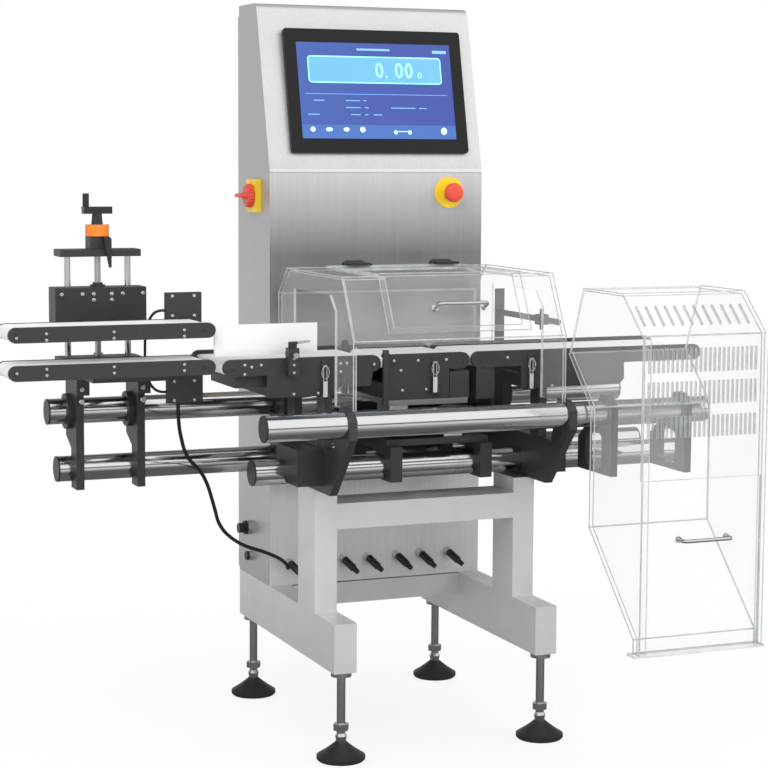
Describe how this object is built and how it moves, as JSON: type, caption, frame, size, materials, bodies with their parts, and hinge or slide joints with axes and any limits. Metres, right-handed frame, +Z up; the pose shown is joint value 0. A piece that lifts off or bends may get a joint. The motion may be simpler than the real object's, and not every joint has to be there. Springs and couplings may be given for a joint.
{
  "type": "checkweigher",
  "caption": "Conveyor checkweigher on a steel stand: twin-belt infeed, weigh belt under a clear guard, outfeed with clear reject box, rear cabinet with sloped screen.",
  "frame": {"origin": "on the floor, in the middle of the machine's outline", "axes": "+Z up, +X along the products' travel from the infeed to the outfeed, -Y towards the operator"},
  "size_m": [1.379, 0.8702, 1.397],
  "materials": {
    "brushed_steel": "glass-bead blasted stainless tube",
    "cabinet_steel": "brushed stainless sheet",
    "bright_steel": "bright turned stainless",
    "rail_steel": "polished tube",
    "screw_steel": "threaded spindle with a dark crank",
    "chrome": "polished",
    "pad_rubber": "moulded",
    "black_plastic": "moulded",
    "gear_plastic": "moulded housings on a plate",
    "yellow_plastic": "moulded",
    "red_plastic": "moulded",
    "orange_plastic": "moulded",
    "white_plastic": "sheet",
    "screen_glass": "lit display behind flat glass",
    "black_aluminium": "black anodised",
    "plain_aluminium": "plain",
    "roller_aluminium": "turned",
    "white_belt": "smooth endless belt",
    "clear_acrylic": "clear bent sheet with polished edges",
    "cable_jacket": "round cable jacket"
  },
  "bodies": {
    "stand": {"base_frame": "brushed_steel", "foot_studs": "bright_steel", "foot_pads": "pad_rubber", "cabinet_shell": "cabinet_steel", "control_gear": "gear_plastic", "screen_bezel": "black_plastic", "screen_glass": "screen_glass", "switch_plates": "yellow_plastic", "cable_connectors": "black_plastic", "rails": "rail_steel", "rail_end_caps": "black_plastic", "side_plates": "black_aluminium", "load_cell": "plain_aluminium", "infeed_supports": "black_aluminium", "outfeed_brackets": "black_aluminium", "spacing_frame": "black_aluminium", "weigh_frame": "black_aluminium", "outfeed_frame": "black_aluminium", "lower_infeed_frame": "black_aluminium", "line_belts": "white_belt", "conveyor_motors": "black_aluminium", "lift_rods": "bright_steel", "lift_end_plates": "black_aluminium", "indicator_ring": "orange_plastic", "weigh_guard": "clear_acrylic", "lid_hinges": "black_plastic", "reject_box": "clear_acrylic", "sensor_posts": "black_aluminium", "infeed_cable": "cable_jacket", "lift_cable": "cable_jacket"},
    "door": {"cabinet_door": "cabinet_steel"},
    "door_lock": {"door_lock": "bright_steel"},
    "stop_button": {"stop_button": "red_plastic"},
    "isolator_knob": {"isolator_knob": "red_plastic"},
    "lift": {"lift_carriage": "black_aluminium", "upper_infeed_frame": "black_aluminium", "upper_infeed_belt": "white_belt"},
    "lift_screw": {"lift_screw": "screw_steel"},
    "crank_knob": {"crank_knob": "black_plastic"},
    "lock_lever": {"lift_lock_lever": "black_plastic"},
    "lid": {"guard_lid": "clear_acrylic", "lid_leaves": "black_plastic", "lid_handle": "chrome"},
    "reject_door": {"reject_door": "clear_acrylic", "door_handle": "chrome"},
    "latch_1": {"latch_lever_1": "chrome"},
    "latch_2": {"latch_lever_2": "chrome"},
    "latch_3": {"latch_lever_3": "chrome"},
    "side_guide": {"side_guide": "white_plastic"},
    "guide_lever": {"guide_lever": "black_plastic"},
    "spacing_drive_roller": {"spacing_drive_roller": "roller_aluminium"},
    "spacing_idler_roller": {"spacing_idler_roller": "roller_aluminium"},
    "weigh_drive_roller": {"weigh_drive_roller": "roller_aluminium"},
    "weigh_idler_roller": {"weigh_idler_roller": "roller_aluminium"},
    "outfeed_drive_roller": {"outfeed_drive_roller": "roller_aluminium"},
    "outfeed_idler_roller": {"outfeed_idler_roller": "roller_aluminium"},
    "lower_infeed_drive_roller": {"lower_infeed_drive_roller": "roller_aluminium"},
    "lower_infeed_idler_roller": {"lower_infeed_idler_roller": "roller_aluminium"},
    "upper_infeed_drive_roller": {"upper_infeed_drive_roller": "roller_aluminium"},
    "upper_infeed_idler_roller": {"upper_infeed_idler_roller": "roller_aluminium"}
  },
  "joints": [
    {"name": "door_swing", "type": "hinge", "parent": "stand", "child": "door", "pos_m": [0.3428, 0.41315, 0.8], "axis": [0, 0, -1], "range_deg": [0, 110]},
    {"name": "door_lock_turn", "type": "hinge", "parent": "door", "child": "door_lock", "pos_m": [-0.0695, 0.42115, 0.77055], "axis": [0, 1, 0], "range_deg": [-90, 0]},
    {"name": "stop_press", "type": "slide", "parent": "stand", "child": "stop_button", "axis": [0, 1, 0], "range_m": [0, 0.004]},
    {"name": "isolator_turn", "type": "hinge", "parent": "stand", "child": "isolator_knob", "pos_m": [-0.1285, 0.30015, 1.023], "axis": [1, 0, 0], "range_deg": [0, 90]},
    {"name": "lift_travel", "type": "slide", "parent": "stand", "child": "lift", "axis": [0, 0, 1], "range_m": [-0.03, 0.045]},
    {"name": "screw_turn", "type": "hinge", "parent": "stand", "child": "lift_screw", "pos_m": [-0.4665, 0.17115, 0.98], "axis": [0, 0, 1], "range_deg": [-3600, 5400]},
    {"name": "crank_knob_spin", "type": "hinge", "parent": "lift_screw", "child": "crank_knob", "pos_m": [-0.4875, 0.17115, 1.02], "axis": [0, 0, 1], "continuous": true},
    {"name": "lock_lever_turn", "type": "hinge", "parent": "stand", "child": "lock_lever", "pos_m": [-0.4545, 0.15285, 0.946], "axis": [0, 1, 0], "range_deg": [-45, 45]},
    {"name": "lid_swing", "type": "hinge", "parent": "stand", "child": "lid", "pos_m": [0.1115, 0.13115, 0.8923], "axis": [-1, 0, 0], "range_deg": [0, 95]},
    {"name": "reject_door_slide", "type": "slide", "parent": "stand", "child": "reject_door", "axis": [0, 0, 1], "range_m": [0, 0.25]},
    {"name": "guide_slide", "type": "slide", "parent": "stand", "child": "side_guide", "axis": [0, 1, 0], "range_m": [-0.008, 0.025]},
    {"name": "guide_lever_turn", "type": "hinge", "parent": "stand", "child": "guide_lever", "pos_m": [-0.1785, -0.09585, 0.766], "axis": [0, 0, 1], "range_deg": [-90, 0]},
    {"name": "latch_1_swing", "type": "hinge", "parent": "stand", "child": "latch_1", "pos_m": [-0.1145, -0.09285, 0.669], "axis": [1, 0, 0], "range_deg": [0, 110]},
    {"name": "latch_2_swing", "type": "hinge", "parent": "stand", "child": "latch_2", "pos_m": [0.1025, -0.09285, 0.669], "axis": [1, 0, 0], "range_deg": [0, 110]},
    {"name": "latch_3_swing", "type": "hinge", "parent": "stand", "child": "latch_3", "pos_m": [0.3005, -0.09285, 0.669], "axis": [1, 0, 0], "range_deg": [0, 110]},
    {"name": "spacing_drive_spin", "type": "hinge", "parent": "stand", "child": "spacing_drive_roller", "pos_m": [-0.0195, 0.01315, 0.7227], "axis": [0, 1, 0], "continuous": true},
    {"name": "spacing_idler_spin", "type": "hinge", "parent": "stand", "child": "spacing_idler_roller", "pos_m": [-0.2895, 0.01315, 0.7227], "axis": [0, 1, 0], "continuous": true},
    {"name": "weigh_drive_spin", "type": "hinge", "parent": "stand", "child": "weigh_drive_roller", "pos_m": [0.1595, 0.01315, 0.7227], "axis": [0, 1, 0], "continuous": true},
    {"name": "weigh_idler_spin", "type": "hinge", "parent": "stand", "child": "weigh_idler_roller", "pos_m": [0.0205, 0.01315, 0.7227], "axis": [0, 1, 0], "continuous": true},
    {"name": "outfeed_drive_spin", "type": "hinge", "parent": "stand", "child": "outfeed_drive_roller", "pos_m": [0.6535, 0.01315, 0.7227], "axis": [0, 1, 0], "continuous": true},
    {"name": "outfeed_idler_spin", "type": "hinge", "parent": "stand", "child": "outfeed_idler_roller", "pos_m": [0.1955, 0.01315, 0.7227], "axis": [0, 1, 0], "continuous": true},
    {"name": "lower_infeed_drive_spin", "type": "hinge", "parent": "stand", "child": "lower_infeed_drive_roller", "pos_m": [-0.3425, -0.03685, 0.7295], "axis": [0, 1, 0], "continuous": true},
    {"name": "lower_infeed_idler_spin", "type": "hinge", "parent": "stand", "child": "lower_infeed_idler_roller", "pos_m": [-0.6765, -0.03685, 0.7295], "axis": [0, 1, 0], "continuous": true},
    {"name": "upper_infeed_drive_spin", "type": "hinge", "parent": "lift", "child": "upper_infeed_drive_roller", "pos_m": [-0.3425, -0.03685, 0.7955], "axis": [0, 1, 0], "continuous": true},
    {"name": "upper_infeed_idler_spin", "type": "hinge", "parent": "lift", "child": "upper_infeed_idler_roller", "pos_m": [-0.6765, -0.03685, 0.7955], "axis": [0, 1, 0], "continuous": true}
  ],
  "couplings": [
    {"joint": "screw_turn", "follows": "lift_travel", "rad_per_m": 2094.4},
    {"joint": "spacing_idler_spin", "follows": "spacing_drive_spin", "ratio": 1},
    {"joint": "weigh_idler_spin", "follows": "weigh_drive_spin", "ratio": 1},
    {"joint": "outfeed_idler_spin", "follows": "outfeed_drive_spin", "ratio": 1},
    {"joint": "lower_infeed_idler_spin", "follows": "lower_infeed_drive_spin", "ratio": 1},
    {"joint": "upper_infeed_idler_spin", "follows": "upper_infeed_drive_spin", "ratio": 1}
  ]
}
